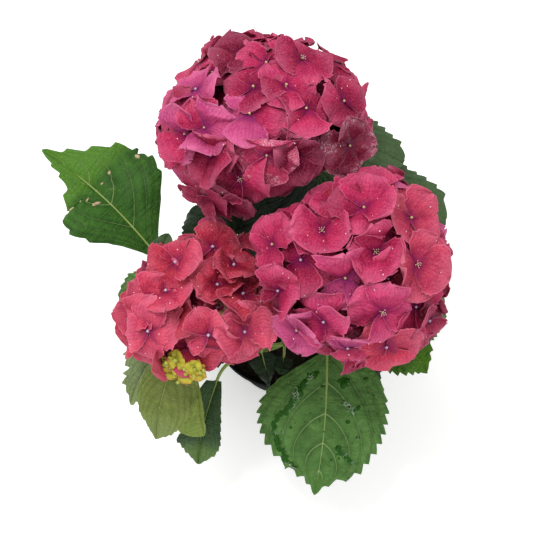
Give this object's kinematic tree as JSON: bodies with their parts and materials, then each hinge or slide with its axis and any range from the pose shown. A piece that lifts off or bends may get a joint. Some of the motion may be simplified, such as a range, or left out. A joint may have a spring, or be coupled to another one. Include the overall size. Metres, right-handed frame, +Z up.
{
  "type": "potted hydrangea shrub",
  "caption": "Potted mophead hydrangea: a short woody stem and green shoots with broad toothed leaves under dense domed heads of four-sepalled pink-red florets, in a round black nursery pot.",
  "frame": {"origin": "the centre of the pot's flat underside", "axes": "+Z up, -Y towards the plant's front, where the two large drooping leaves are, +X towards the plant's right as seen from the front"},
  "size_m": [0.3622, 0.3637, 0.3651],
  "materials": {
    "black_plastic": "satin",
    "potting_mix": "matte",
    "bark": "matte",
    "green_stem": "satin",
    "leaf": "satin",
    "petals": "satin"
  },
  "bodies": {
    "root": {"pot": "black_plastic", "potting_mix": "potting_mix", "woody_stem": "bark", "shoot_back": "green_stem", "shoot_right": "green_stem", "shoot_left": "green_stem", "shoot_side": "green_stem", "shoot_front": "green_stem", "leaf_back_low_left": "leaf", "leaf_back_low_right": "leaf", "leaf_gap": "leaf", "leaf_behind": "leaf", "leaf_back_high_left": "leaf", "leaf_back_high_right": "leaf", "leaf_right_low_front": "leaf", "leaf_right_low_back": "leaf", "leaf_right_outer": "leaf", "leaf_right_high_front": "leaf", "leaf_right_high_back": "leaf", "leaf_left_low_front": "leaf", "leaf_left_low_back": "leaf", "leaf_left_serrated": "leaf", "leaf_left_bright": "leaf", "leaf_left_pale": "leaf", "leaf_side": "leaf", "leaf_side_low": "leaf", "leaf_side_tip": "leaf", "leaf_front": "leaf", "leaf_front_left": "leaf", "leaf_front_low": "leaf", "leaf_front_tip": "leaf", "flower_head_back": "petals", "flower_head_right": "petals", "flower_head_left": "petals"}
  },
  "joints": []
}
